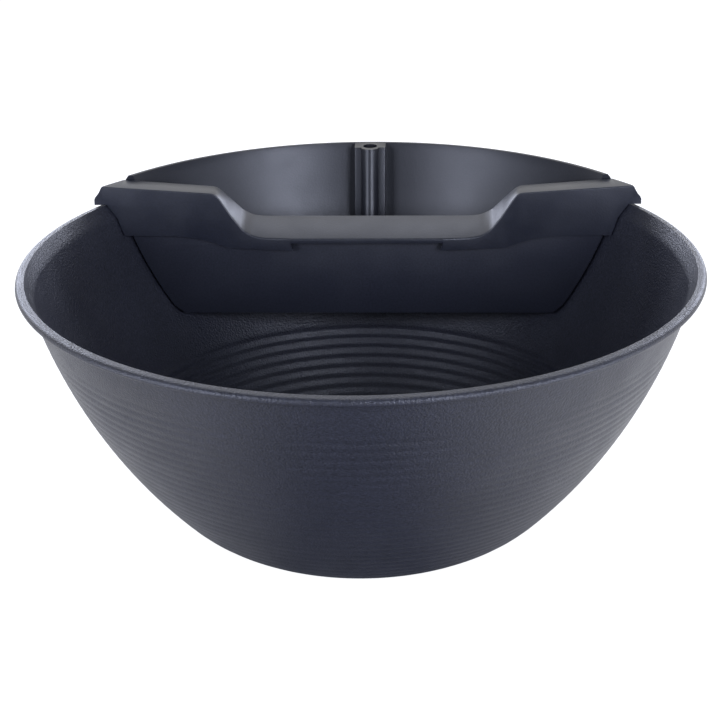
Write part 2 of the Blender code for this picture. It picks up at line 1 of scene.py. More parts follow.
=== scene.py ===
"""Studio picture of a deep round gold pan with a classifier bin hung on its rim.

Frame: metres, +Z up. The origin is the centre of the pan's flat foot, the bin stands at +Y.
"""
import json
import math

import bmesh
import bpy
from mathutils import Matrix, Vector

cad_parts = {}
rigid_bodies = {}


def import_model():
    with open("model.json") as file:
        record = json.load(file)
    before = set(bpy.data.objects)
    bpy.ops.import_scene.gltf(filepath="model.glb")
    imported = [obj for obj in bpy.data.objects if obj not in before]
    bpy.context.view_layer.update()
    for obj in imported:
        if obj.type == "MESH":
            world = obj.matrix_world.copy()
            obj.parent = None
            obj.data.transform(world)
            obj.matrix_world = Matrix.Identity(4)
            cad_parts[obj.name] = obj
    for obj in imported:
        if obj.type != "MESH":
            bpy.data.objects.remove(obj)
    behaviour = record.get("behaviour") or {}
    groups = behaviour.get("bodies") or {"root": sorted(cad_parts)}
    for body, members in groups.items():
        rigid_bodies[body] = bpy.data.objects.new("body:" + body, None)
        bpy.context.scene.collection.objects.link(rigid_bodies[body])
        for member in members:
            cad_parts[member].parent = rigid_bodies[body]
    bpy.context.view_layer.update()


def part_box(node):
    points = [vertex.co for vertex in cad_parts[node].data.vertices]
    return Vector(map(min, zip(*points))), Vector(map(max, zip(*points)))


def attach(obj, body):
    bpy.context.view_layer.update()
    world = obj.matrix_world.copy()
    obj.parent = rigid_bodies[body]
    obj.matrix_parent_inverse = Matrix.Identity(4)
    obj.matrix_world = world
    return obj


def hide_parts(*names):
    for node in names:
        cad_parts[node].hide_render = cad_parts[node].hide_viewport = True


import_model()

PAN_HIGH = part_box("pan_bowl")[1]
SHELL_LOW, SHELL_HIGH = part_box("bin_shell")
HANDLE_LOW, HANDLE_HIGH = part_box("cross_handle")
PLATE_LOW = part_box("front_plate")[0]
SCREEN_LOW, SCREEN_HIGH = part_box("screen_floor")

# Pan
RIM_RADIUS = PAN_HIGH.x
RIM_HEIGHT = PAN_HIGH.z
WALL = 0.0026
LIP_WIDTH = 0.0052
LIP_DEPTH = 0.0044
LIP_OVERHANG = 0.0064
LIP_FLARE_DEPTH = 0.0085
WALL_ARC = 0.3200
CORNER_ARC = 0.0670
FOOT_RADIUS = 0.0705
RIFFLE_COUNT = 8
RIFFLE_PITCH = 0.0055
RIFFLE_RISE = 0.0009
RIFFLE_LOWEST = 0.0180
RING_PITCH = 0.0061        # fine rings round the outside, measured along the wall
RING_DEPTH = 0.00045
RING_START = 0.0160        # along the wall from the lip
RING_FADE = 0.0140         # run over which the rings grow to their full depth
FOOT_MARGIN = 0.0100       # the rings end this far before the flat foot
OUTER_SPACING = 0.00095    # between section points
INNER_SPACING = 0.0013
BOWL_SIDES = 224
SHELL_SIDES = 192

# Bin
BIN_GAP = 0.0012
SEAT_GAP = 0.0003
SHELL_WALL = 0.0024
BIN_DEPTH = RIM_HEIGHT - SHELL_LOW.z
BIN_TOP = SHELL_HIGH.z - RIM_HEIGHT
HOOD_RADIUS = SHELL_HIGH.y
LEDGE_WIDTH = 0.0070
LEDGE_THICKNESS = 0.0022

# Cross handle
GRIP_BULGE = 0.0035
HANDLE_FRONT = HANDLE_LOW.y + GRIP_BULGE
HANDLE_REAR = HANDLE_HIGH.y
HANDLE_WALL = 0.0029
HANDLE_BEND = 0.0900
TAB_INNER = 0.0480
END_RISE = 0.0119
REAR_SKIRT = 0.0100
EDGE_ROUND = 0.0009

# Plate, column, fasteners, screen
PLATE_FRONT = PLATE_LOW.y
PLATE_THICKNESS = 0.0029
COLUMN_WIDTH = 0.0210
COLUMN_STANDING = 0.0115
COLUMN_NOSE_RADIUS = 0.0061
COLUMN_LENGTH = 0.0640
SOCKET_RADIUS = 0.0048
SOCKET_DEPTH = 0.0220
SCREW_RADIUS = 0.0015
SCREW_HEAD_HEIGHT = 0.0018
SCREW_CLEARANCE = 0.0003
BOSS_RADIUS = 0.0037
THREAD_PITCH = 0.0008
RECESS_WIDTH = 0.0007
SCREEN_THICKNESS = SCREEN_HIGH.z - SCREEN_LOW.z
SCREEN_HOLE_RADIUS = 0.0040
SCREEN_PITCH = 0.0130

PLATE_REAR = PLATE_FRONT + PLATE_THICKNESS
SHELL_FRONT = PLATE_REAR + SEAT_GAP
SHELL_REST = HANDLE_REAR + SEAT_GAP
LIP_INNER = RIM_RADIUS - LIP_WIDTH
BIN_BOTTOM = RIM_HEIGHT - BIN_DEPTH
LEDGE_TOP = BIN_BOTTOM + LEDGE_THICKNESS
SHELL_OUT = WALL + BIN_GAP
SHELL_IN = SHELL_OUT + SHELL_WALL
SHELL_MID = (SHELL_OUT + SHELL_IN) / 2
SHELL_TOP_RADIUS = LIP_INNER + 0.0003      # outside of the shell's top edge
SHELL_TOP_HEIGHT = RIM_HEIGHT + BIN_TOP
FLANGE_SET_BACK = 0.0027                   # room for the plate's screw bosses
FLANGE_FRONT = SHELL_FRONT + FLANGE_SET_BACK
FLANGE_REAR = FLANGE_FRONT + SHELL_WALL
FLANGE_WIDTH = 0.0120
PLATE_SCREW_SHARE = 0.68                   # across the flange, from its outer edge
HANDLE_REST_DEPTH = 0.0012                 # the shell's ends stop this far below the lip's edge
BRACKET_DROP = 0.0020                      # lip's edge down to the brackets
BRACKET_THICKNESS = 0.0030
BRACKET_TOP = RIM_HEIGHT - BRACKET_DROP
BRACKET_LOW = BRACKET_TOP - BRACKET_THICKNESS
BRACKET_REAR = HANDLE_REAR - HANDLE_WALL - SEAT_GAP
BRACKET_INNER = 0.1060
HANDLE_SCREW_X = (0.1130, 0.1320)
HANDLE_SCREW_Y = (SHELL_FRONT + BRACKET_REAR) / 2
PLATE_SCREW_HEIGHTS = (RIM_HEIGHT - 0.0220, RIM_HEIGHT - 0.0600)
SCREEN_SCREW_ANGLES = (52.0, 78.0, 102.0, 128.0)
SCREW_HOLE_RADIUS = SCREW_RADIUS + SCREW_CLEARANCE

CUT_PAST = 0.005           # how far a cutter runs past what it cuts
OVERLAP = 0.001            # how far joined solids reach into each other
WELD_DISTANCE = 0.000002   # points closer than this become one

WORK = bpy.data.collections.new("gold_pan")
CUTTERS = bpy.data.collections.new("cutters")
STUDIO = bpy.data.collections.new("studio")
for made_collection in (WORK, CUTTERS, STUDIO):
    bpy.context.scene.collection.children.link(made_collection)


# ---------------------------------------------------------------- section of the pan's wall

def wall_arc_centre():
    """Centre of the large arc: it passes under the lip and meets the corner arc smoothly."""
    top = Vector((RIM_RADIUS - LIP_OVERHANG, RIM_HEIGHT - LIP_DEPTH))
    corner = Vector((FOOT_RADIUS, CORNER_ARC))
    across = corner - top
    distance = across.length
    along = (WALL_ARC ** 2 - (WALL_ARC - CORNER_ARC) ** 2 + distance ** 2) / (2 * distance)
    aside = math.sqrt(WALL_ARC ** 2 - along ** 2)
    unit = across / distance
    return top + unit * along + Vector((unit.y, -unit.x)) * aside


ARC_CENTRE = wall_arc_centre()
CORNER_CENTRE = Vector((FOOT_RADIUS, CORNER_ARC))
JOIN = (CORNER_CENTRE - ARC_CENTRE).normalized()


def wall_radius(height, inset=0.0):
    """Radius at a height of the surface parallel to the pan's outside, inset inwards."""
    if height > CORNER_CENTRE.y + JOIN.y * (CORNER_ARC - inset):
        reach = WALL_ARC - inset
        return ARC_CENTRE.x + math.sqrt(reach ** 2 - (height - ARC_CENTRE.y) ** 2)
    reach = CORNER_ARC - inset
    return CORNER_CENTRE.x + math.sqrt(max(reach ** 2 - (height - CORNER_CENTRE.y) ** 2, 0.0))


def wall_run(start, end, inset, pieces):
    """Points down or up the wall between two heights."""
    heights = [start + (end - start) * index / pieces for index in range(pieces + 1)]
    return [(wall_radius(height, inset), height) for height in heights]


def corner_run(start, inset, pieces):
    """Points round the corner arc from a height down to the foot's flat."""
    reach = CORNER_ARC - inset
    first = math.asin((CORNER_ARC - start) / reach)
    points = []
    for index in range(1, pieces + 1):
        angle = first + (math.pi / 2 - first) * index / pieces
        points.append((FOOT_RADIUS + reach * math.cos(angle), CORNER_ARC - reach * math.sin(angle)))
    return points


def mixed(start, end, share):
    return tuple(a + (b - a) * share for a, b in zip(start, end))


def evenly(points, spacing):
    """The same line with points at an even spacing, each with its distance from the start."""
    lengths = [math.dist(a, b) for a, b in zip(points, points[1:])]
    total = sum(lengths)
    count = round(total / spacing)
    result, passed, segment = [], 0.0, 0
    for index in range(count + 1):
        goal = total * index / count
        while segment < len(lengths) - 1 and passed + lengths[segment] < goal:
            passed += lengths[segment]
            segment += 1
        share = min((goal - passed) / lengths[segment], 1.0)
        result.append((mixed(points[segment], points[segment + 1], share), goal))
    return result


def corners_cut(line, reach):
    """The line with each inner corner taken off, by at most reach along either side."""
    points = [line[0]]
    for before, corner, after in zip(line, line[1:], line[2:]):
        for other in (before, after):
            length = math.dist(corner, other)
            points.append(mixed(corner, other, min(0.25, reach / max(length, 1e-9))))
    points.append(line[-1])
    return points


# ---------------------------------------------------------------- modelling helpers

def place(name, mesh, collection=CUTTERS):
    made = bpy.data.objects.new(name, mesh)
    collection.objects.link(made)
    if collection is CUTTERS:
        made.hide_render = True
        made.display_type = "WIRE"
    return made


def from_bmesh(name, shape, collection=CUTTERS):
    bmesh.ops.recalc_face_normals(shape, faces=shape.faces)
    mesh = bpy.data.meshes.new(name)
    shape.to_mesh(mesh)
    shape.free()
    return place(name, mesh, collection)


def turned(name, profile, collection=CUTTERS, sides=SHELL_SIDES):
    """Closed section turned round the Z axis."""
    mesh = bpy.data.meshes.new(name)
    count = len(profile)
    edges = [(index, (index + 1) % count) for index in range(count)]
    if profile[0][0] == 0.0 and profile[-1][0] == 0.0:
        edges.pop()
    mesh.from_pydata([(radius, 0.0, height) for radius, height in profile], edges, [])
    made = place(name, mesh, collection)
    screw = made.modifiers.new("turn", "SCREW")
    screw.axis = "Z"
    screw.angle = math.tau
    screw.steps = sides
    screw.render_steps = sides
    screw.use_merge_vertices = True
    screw.merge_threshold = 0.00001
    return made


def slab(name, outline, axis, low, high, collection=CUTTERS):
    """Flat outline in XY (axis Z) or XZ (axis Y), made solid from low to high along the axis."""
    shape = bmesh.new()
    rings = []
    for level in (low, high):
        spots = [(a, b, level) if axis == "Z" else (a, level, b) for a, b in outline]
        rings.append([shape.verts.new(spot) for spot in spots])
    count = len(outline)
    for index in range(count):
        after = (index + 1) % count
        shape.faces.new((rings[0][index], rings[0][after], rings[1][after], rings[1][index]))
    for ring in rings:
        shape.faces.new(ring)
    return from_bmesh(name, shape, collection)


def rod(name, centre, radius, length, axis="Z", sides=32, collection=CUTTERS):
    """Cylinder that starts at the centre and runs along +Z or +Y."""
    shape = bmesh.new()
    bmesh.ops.create_cone(shape, cap_ends=True, segments=sides, radius1=radius, radius2=radius, depth=length)
    turn = Matrix.Identity(4) if axis == "Z" else Matrix.Rotation(-math.pi / 2, 4, "X")
    bmesh.ops.transform(shape, verts=shape.verts, matrix=turn @ Matrix.Translation((0, 0, length / 2)))
    made = from_bmesh(name, shape, collection)
    made.location = centre
    return made


def box(name, low, high, collection=CUTTERS):
    shape = bmesh.new()
    bmesh.ops.create_cube(shape, size=1.0)
    bmesh.ops.scale(shape, vec=Vector(high) - Vector(low), verts=shape.verts)
    made = from_bmesh(name, shape, collection)
    made.location = (Vector(low) + Vector(high)) / 2
    return made


def loft(name, sections, collection=CUTTERS):
    """Skin over sections with the same number of corners, closed at both ends."""
    shape = bmesh.new()
    rings = [[shape.verts.new(corner) for corner in section] for section in sections]
    count = len(rings[0])
    for ring, following in zip(rings, rings[1:]):
        for index in range(count):
            after = (index + 1) % count
            shape.faces.new((ring[index], ring[after], following[after], following[index]))
    shape.faces.new(rings[0])
    shape.faces.new(rings[-1])
    return from_bmesh(name, shape, collection)


def combine(target, tool, operation):
    """Every join and cut is a step on the target, carried out when the piece is settled."""
    step = target.modifiers.new(tool.name, "BOOLEAN")
    step.object = tool
    step.operation = operation
    step.solver = "EXACT"


def cut(target, tool):
    combine(target, tool, "DIFFERENCE")


def join(target, tool):
    combine(target, tool, "UNION")


def keep(target, tool):
    combine(target, tool, "INTERSECT")


def drill(target, label, spots, start, length, axis="Z"):
    """Clearance holes for screws at the spots, from a start along the axis."""
    for number, (across, other) in enumerate(spots, 1):
        centre = (across, other, start) if axis == "Z" else (across, start, other)
        cut(target, rod(f"{label}_{number}", centre, SCREW_HOLE_RADIUS, length, axis))


def round_edges(made, width, degrees, segments=2):
    """Rounds every edge that is sharper than the given angle."""
    bevel = made.modifiers.new("round_edges", "BEVEL")
    bevel.width = width
    bevel.segments = segments
    bevel.limit_method = "ANGLE"
    bevel.angle_limit = math.radians(degrees)
    bevel.miter_outer = "MITER_ARC"


def settle(made, body, node, look, crease=35.0):
    """Turns the steps into one plain mesh at the origin, hides the CAD node it stands for and hangs the mesh
    on the given body.
    """
    graph = bpy.context.evaluated_depsgraph_get()
    mesh = bpy.data.meshes.new_from_object(made.evaluated_get(graph), depsgraph=graph)
    mesh.transform(made.matrix_world)
    made.modifiers.clear()
    made.data = mesh
    made.matrix_world = Matrix.Identity(4)
    mesh.name = made.name
    mesh.materials.clear()
    mesh.materials.append(look)
    shape = bmesh.new()
    shape.from_mesh(mesh)
    bmesh.ops.remove_doubles(shape, verts=shape.verts, dist=WELD_DISTANCE)
    bmesh.ops.dissolve_degenerate(shape, edges=shape.edges, dist=WELD_DISTANCE)
    bmesh.ops.recalc_face_normals(shape, faces=shape.faces)
    for face in shape.faces:
        face.smooth = True
        face.material_index = 0
    shape.to_mesh(mesh)
    shape.free()
    mesh.set_sharp_from_angle(angle=math.radians(crease))
    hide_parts(node)
    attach(made, body)
    return made


def mirrored(points):
    """Line given from the middle out to +X, completed with its twin at -X."""
    return [(-x, z) for x, z in reversed(points) if x > 0.0] + list(points)


# ---------------------------------------------------------------- node helpers

def feed(tree, value, socket):
    """A socket takes either a link or a plain value."""
    if isinstance(value, bpy.types.NodeSocket):
        tree.links.new(value, socket)
    else:
        socket.default_value = value


def calc(tree, operation, *values):
    node = tree.nodes.new("ShaderNodeMath")
    node.operation = operation
    for socket, value in zip(node.inputs, values):
        feed(tree, value, socket)
    return node.outputs[0]


def geometry_tree(name, inputs):
    """Node group with a geometry in and out and the named inputs, ready to be filled."""
    tree = bpy.data.node_groups.new(name, "GeometryNodeTree")
    tree.interface.new_socket("Geometry", in_out="INPUT", socket_type="NodeSocketGeometry")
    for label, kind, value in inputs:
        made = tree.interface.new_socket(label, in_out="INPUT", socket_type=kind)
        if value is not None:
            made.default_value = value
    tree.interface.new_socket("Geometry", in_out="OUTPUT", socket_type="NodeSocketGeometry")
    return tree, tree.nodes.new("NodeGroupInput").outputs


def finish_tree(tree, geometry, look):
    """Every tree ends by realizing its instances and setting the material."""
    real = tree.nodes.new("GeometryNodeRealizeInstances")
    paint = tree.nodes.new("GeometryNodeSetMaterial")
    paint.inputs["Material"].default_value = look
    out = tree.nodes.new("NodeGroupOutput")
    tree.links.new(geometry, real.inputs[0])
    tree.links.new(real.outputs[0], paint.inputs[0])
    tree.links.new(paint.outputs[0], out.inputs[0])


def use_tree(made, tree):
    step = made.modifiers.new(tree.name, "NODES")
    step.node_group = tree


# ---------------------------------------------------------------- finishes

SCUFF_STRETCH = (9.0, 9.0, 120.0)    # long thin marks
SCUFF_LEAN = (0.3, 0.5, 0.7)
CLOUD_SCALE = 16.0
SPECKLE_SCALE = 800.0
SCUFF_SCALE = 9.0
SHEEN_SCALE = 55.0
GRAIN_SCALE = 850.0
GRAIN_STRENGTH = 0.6


def noise_value(tree, spot, scale, detail=3.0, stretch=None):
    """Noise in the object's own metres, drawn out along an axis where stretch asks for it."""
    if stretch is not None:
        mapping = tree.nodes.new("ShaderNodeMapping")
        mapping.inputs["Scale"].default_value = stretch
        mapping.inputs["Rotation"].default_value = SCUFF_LEAN
        tree.links.new(spot, mapping.inputs["Vector"])
        spot = mapping.outputs[0]
    noise = tree.nodes.new("ShaderNodeTexNoise")
    noise.inputs["Scale"].default_value = scale
    noise.inputs["Detail"].default_value = detail
    tree.links.new(spot, noise.inputs["Vector"])
    return noise.outputs[0]


def spread(tree, value, low, high, from_low=0.3, from_high=0.7):
    """Maps a noise value onto a range."""
    node = tree.nodes.new("ShaderNodeMapRange")
    node.inputs["From Min"].default_value = from_low
    node.inputs["From Max"].default_value = from_high
    node.inputs["To Min"].default_value = low
    node.inputs["To Max"].default_value = high
    tree.links.new(value, node.inputs["Value"])
    return node.outputs[0]


def finish(name, colour, roughness, mottle=0.08, scuffs=0.12, grain=0.00045,
           metallic=0.0, gloss=0.5, uneven=0.04):
    """Moulded or plated surface: clouded colour, faint scuffs, uneven sheen and a fine sandy grain."""
    made = bpy.data.materials.new(name)
    made.use_nodes = True
    tree = made.node_tree
    shader = tree.nodes["Principled BSDF"]
    spot = tree.nodes.new("ShaderNodeTexCoord").outputs["Object"]
    clouds = spread(tree, noise_value(tree, spot, CLOUD_SCALE, 4.0), 1.0 - mottle, 1.0 + mottle)
    deep = 3.0 * mottle
    speckle = spread(tree, noise_value(tree, spot, SPECKLE_SCALE, 2.0), 1.0 - deep, 1.0 + deep)
    marks = spread(tree, noise_value(tree, spot, SCUFF_SCALE, 6.0, SCUFF_STRETCH), 0.0, scuffs, 0.66, 0.80)
    level = calc(tree, "ADD", calc(tree, "MULTIPLY", clouds, speckle), marks)
    tint = tree.nodes.new("ShaderNodeHueSaturation")
    tint.inputs["Color"].default_value = (*colour, 1.0)
    tree.links.new(level, tint.inputs["Value"])
    tree.links.new(tint.outputs[0], shader.inputs["Base Color"])
    sheen = spread(tree, noise_value(tree, spot, SHEEN_SCALE, 4.0), roughness - uneven, roughness + uneven)
    dulled = calc(tree, "ADD", sheen, calc(tree, "MULTIPLY", marks, 0.15))
    tree.links.new(dulled, shader.inputs["Roughness"])
    shader.inputs["Metallic"].default_value = metallic
    shader.inputs["Specular IOR Level"].default_value = gloss
    bump = tree.nodes.new("ShaderNodeBump")
    bump.inputs["Strength"].default_value = GRAIN_STRENGTH
    bump.inputs["Distance"].default_value = grain
    tree.links.new(noise_value(tree, spot, GRAIN_SCALE, 2.5), bump.inputs["Height"])
    tree.links.new(bump.outputs[0], shader.inputs["Normal"])
    return made


SMOOTH_GRAIN = 0.00010     # polished parts of the mould
BOWL_LOOK = finish("bowl_plastic", (0.0175, 0.0186, 0.0275), 0.40, 0.13, grain=0.0007)
SHELL_LOOK = finish("shell_plastic", (0.0120, 0.0127, 0.0175), 0.38, 0.05, 0.04, SMOOTH_GRAIN, uneven=0.015)
HANDLE_LOOK = finish("handle_top_plastic", (0.0070, 0.0086, 0.0165), 0.38, grain=SMOOTH_GRAIN, gloss=0.8)
PLATE_LOOK = finish("plate_smooth_plastic", (0.0165, 0.0180, 0.0265), 0.40, grain=SMOOTH_GRAIN)
SCREEN_LOOK = finish("screen_matte_plastic", (0.0180, 0.0195, 0.0240), 0.50)
STEEL_LOOK = finish("plated_steel", (0.56, 0.57, 0.58), 0.32, 0.05, 0.1, 0.00001, 1.0)


# ---------------------------------------------------------------- the pan

def eased(value):
    """Smooth step from 0 to 1."""
    share = min(max(value, 0.0), 1.0)
    return share * share * (3.0 - 2.0 * share)


WALL_PIECES = 200
CORNER_PIECES = 60
FOOT_SHARES = (0.3, 0.6, 0.85)
AXIS_WELD = 0.0000005      # joins the points on the pan's axis


def bowl_section():
    """Section points from the lip's inner edge round the outside to the inside again.

    Each has its radius and height, its run in metres, and how much rings and riffles act on it.
    """
    lip = [
        (LIP_INNER, RIM_HEIGHT),
        (RIM_RADIUS - 0.0018, RIM_HEIGHT - 0.0003),
        (RIM_RADIUS - 0.0006, RIM_HEIGHT - 0.0010),
        (RIM_RADIUS, RIM_HEIGHT - 0.0022),
        (RIM_RADIUS, RIM_HEIGHT - LIP_DEPTH + 0.0010),
        (RIM_RADIUS - 0.0009, RIM_HEIGHT - LIP_DEPTH + 0.0001),
        (RIM_RADIUS - LIP_OVERHANG, RIM_HEIGHT - LIP_DEPTH),
    ]
    for reach in (0.0005, 0.0002):
        lip = corners_cut(lip, reach)
    section = [(radius, height, 0.0, 0.0, 0.0) for radius, height in lip[:-1]]
    outside = wall_run(RIM_HEIGHT - LIP_DEPTH, RIFFLE_LOWEST, 0.0, WALL_PIECES)
    outside += corner_run(RIFFLE_LOWEST, 0.0, CORNER_PIECES)
    points = evenly(outside, OUTER_SPACING)
    total = points[-1][1]
    for (radius, height), run in points:
        ringed = eased((run - RING_START) / RING_FADE) * eased((total - run) / FOOT_MARGIN)
        section.append((radius, height, run, ringed, 0.0))
    for share in reversed(FOOT_SHARES):
        section.append((FOOT_RADIUS * share, 0.0, 0.0, 0.0, 0.0))
    section.append((0.0, 0.0, 0.0, 0.0, 0.0))
    section.append((0.0, WALL, 0.0, 0.0, 0.0))
    for share in FOOT_SHARES:
        section.append((FOOT_RADIUS * share, WALL, 0.0, 0.0, 0.0))
    inside = list(reversed(corner_run(RIFFLE_LOWEST, WALL, CORNER_PIECES)))
    inside += wall_run(RIFFLE_LOWEST, RIM_HEIGHT - LIP_FLARE_DEPTH, WALL, WALL_PIECES)
    for (radius, height), _ in evenly(inside, INNER_SPACING):
        run = height - RIFFLE_LOWEST
        riffled = 1.0 if 0.0 < run < RIFFLE_COUNT * RIFFLE_PITCH else 0.0
        section.append((radius, height, run, 0.0, riffled))
    last = section[-1][:2]
    for share in (0.25, 0.5, 0.75, 0.92):
        section.append((*mixed(last, (LIP_INNER, RIM_HEIGHT), share), 0.0, 0.0, 0.0))
    return section


def bowl_tree():
    """Sinks fine rings into the outside and raises the riffles inside, along the surface's normal."""
    tree, given = geometry_tree("rings_and_riffles", [
        ("Ring Pitch", "NodeSocketFloat", RING_PITCH),
        ("Ring Depth", "NodeSocketFloat", RING_DEPTH),
        ("Riffle Pitch", "NodeSocketFloat", RIFFLE_PITCH),
        ("Riffle Rise", "NodeSocketFloat", RIFFLE_RISE),
    ])

    def stored(label):
        node = tree.nodes.new("GeometryNodeInputNamedAttribute")
        node.data_type = "FLOAT"
        node.inputs["Name"].default_value = label
        return node.outputs[0]

    def wave(pitch):
        turn = calc(tree, "MULTIPLY", calc(tree, "DIVIDE", stored("run"), pitch), math.tau)
        return calc(tree, "MULTIPLY_ADD", calc(tree, "COSINE", turn), -0.5, 0.5)

    position = tree.nodes.new("GeometryNodeInputPosition").outputs[0]
    patches = spread(tree, noise_value(tree, position, 11.0, 2.0), 0.25, 1.0, 0.38, 0.62)
    groove = calc(tree, "MULTIPLY", calc(tree, "POWER", wave(given[1]), 2.0), patches)
    rings = calc(tree, "MULTIPLY", calc(tree, "MULTIPLY", groove, given[2]), stored("ringed"))
    riffles = calc(tree, "MULTIPLY", calc(tree, "MULTIPLY", wave(given[3]), given[4]), stored("riffled"))
    height = calc(tree, "SUBTRACT", riffles, rings)
    scaled = tree.nodes.new("ShaderNodeVectorMath")
    scaled.operation = "SCALE"
    tree.links.new(tree.nodes.new("GeometryNodeInputNormal").outputs[0], scaled.inputs[0])
    tree.links.new(height, scaled.inputs["Scale"])
    moved = tree.nodes.new("GeometryNodeSetPosition")
    tree.links.new(given[0], moved.inputs["Geometry"])
    tree.links.new(scaled.outputs[0], moved.inputs["Offset"])
    finish_tree(tree, moved.outputs[0], BOWL_LOOK)
    return tree


def make_bowl():
    """Turns the section by hand, so that each point keeps its run and its share of rings and riffles."""
    section = bowl_section()
    shape = bmesh.new()
    layers = [shape.verts.layers.float.new(label) for label in ("run", "ringed", "riffled")]
    rings = []
    for side in range(BOWL_SIDES):
        angle = math.tau * side / BOWL_SIDES
        ring = []
        for radius, height, *facts in section:
            vert = shape.verts.new((radius * math.cos(angle), radius * math.sin(angle), height))
            for layer, fact in zip(layers, facts):
                vert[layer] = fact
            ring.append(vert)
        rings.append(ring)
    count = len(section)
    axis = [index for index, point in enumerate(section) if point[0] == 0.0]
    for ring, following in zip(rings, rings[1:] + rings[:1]):
        for index in range(count):
            after = (index + 1) % count
            if index in axis and after in axis:
                continue
            shape.faces.new((ring[index], following[index], following[after], ring[after]))
    bmesh.ops.remove_doubles(shape, verts=shape.verts, dist=AXIS_WELD)
    bowl = from_bmesh("bowl", shape, WORK)
    use_tree(bowl, bowl_tree())
    settle(bowl, "pan", "pan_bowl", BOWL_LOOK)


# ---------------------------------------------------------------- the bin's rear shell

def hood_outline():
    """Outside of the hood from its rounded top down to the seat on the lip."""
    return [
        (SHELL_TOP_RADIUS, SHELL_TOP_HEIGHT),
        (RIM_RADIUS - 0.0037, RIM_HEIGHT + 0.0122),
        (RIM_RADIUS - 0.0018, RIM_HEIGHT + 0.0080),
        (HOOD_RADIUS, RIM_HEIGHT + 0.0045),
        (HOOD_RADIUS, RIM_HEIGHT + SEAT_GAP),
    ]


def hood_hollow():
    """Inside of the hood from its seat on the lip up to the apex and down the outer face."""
    skirt = HOOD_RADIUS - SHELL_WALL
    return [
        (skirt, RIM_HEIGHT + SEAT_GAP),
        (skirt, RIM_HEIGHT + 0.0037),
        (RIM_RADIUS - 0.0046, RIM_HEIGHT + 0.0082),
        (LIP_INNER - 0.0009, RIM_HEIGHT + 0.0096),
    ]


HOOD_ROUND = 0.0009


def shell_profile():
    """Section of the shell: hood, outer face, ledge for the screen, inner face, top edge."""
    straight_from = RIM_HEIGHT - LIP_FLARE_DEPTH
    outer = wall_run(straight_from, BIN_BOTTOM, SHELL_OUT, 14)
    ledge_inner = wall_radius(LEDGE_TOP, SHELL_IN) - LEDGE_WIDTH
    ledge = [(ledge_inner, BIN_BOTTOM), (ledge_inner, LEDGE_TOP)]
    inner = wall_run(LEDGE_TOP, straight_from, SHELL_IN, 14)
    top_inner = (SHELL_TOP_RADIUS - SHELL_WALL, SHELL_TOP_HEIGHT)
    rise = [mixed(inner[-1], top_inner, share) for share in (0.25, 0.5, 0.75)]
    top = [
        (top_inner[0] - 0.00002, top_inner[1] - 0.0006),
        (top_inner[0] + 0.0002, top_inner[1] - 0.00015),
        (top_inner[0] + 0.0007, top_inner[1]),
    ]
    return corners_cut(hood_outline(), HOOD_ROUND) + hood_hollow() + outer + ledge + inner + rise + top


def chord_half_width(height, inset, along_y):
    """Half-width of the pan's inset wall where an upright plane cuts it."""
    return math.sqrt(wall_radius(height, inset) ** 2 - along_y ** 2)


def plate_screw_spots():
    spots = []
    for height in PLATE_SCREW_HEIGHTS:
        across = chord_half_width(height, SHELL_MID, FLANGE_REAR) - FLANGE_WIDTH * PLATE_SCREW_SHARE
        spots += [(across, height), (-across, height)]
    return spots


def handle_screw_spots():
    return [(side * across, HANDLE_SCREW_Y) for side in (-1, 1) for across in HANDLE_SCREW_X]


def screen_screw_spots():
    reach = wall_radius(LEDGE_TOP, SHELL_IN) - LEDGE_WIDTH / 2
    angles = [math.radians(degrees) for degrees in SCREEN_SCREW_ANGLES]
    return [(reach * math.cos(angle), reach * math.sin(angle)) for angle in angles]


def shell_flange(side):
    """Upright flange behind the plate, grown out of the shell's end."""
    low = BIN_BOTTOM + LEDGE_THICKNESS / 2
    high = (BRACKET_TOP + BRACKET_LOW) / 2
    heights = [high + (low - high) * index / 12 for index in range(13)]
    outer = [(side * chord_half_width(height, SHELL_MID, FLANGE_REAR), height) for height in heights]
    inner = [(x - side * FLANGE_WIDTH, z) for x, z in reversed(outer)]
    return slab(f"flange_{side}", outer + inner, "Y", FLANGE_FRONT, FLANGE_REAR)


def shell_bracket(side):
    """Level tab under the handle's land, for the handle's screws."""
    outline = [
        (side * BRACKET_INNER, SHELL_FRONT),
        (side * chord_half_width(BRACKET_LOW, SHELL_MID, SHELL_FRONT), SHELL_FRONT),
        (side * chord_half_width(BRACKET_LOW, SHELL_MID, BRACKET_REAR), BRACKET_REAR),
        (side * BRACKET_INNER, BRACKET_REAR),
    ]
    return slab(f"bracket_{side}", outline, "Z", BRACKET_LOW, BRACKET_TOP)


COLUMN_SINK = 0.8          # share of the shell's wall that the block reaches into
COLUMN_SIDES = 48
NOSE_SET_BACK = 0.0008
SMALL_ROUND = 0.0006


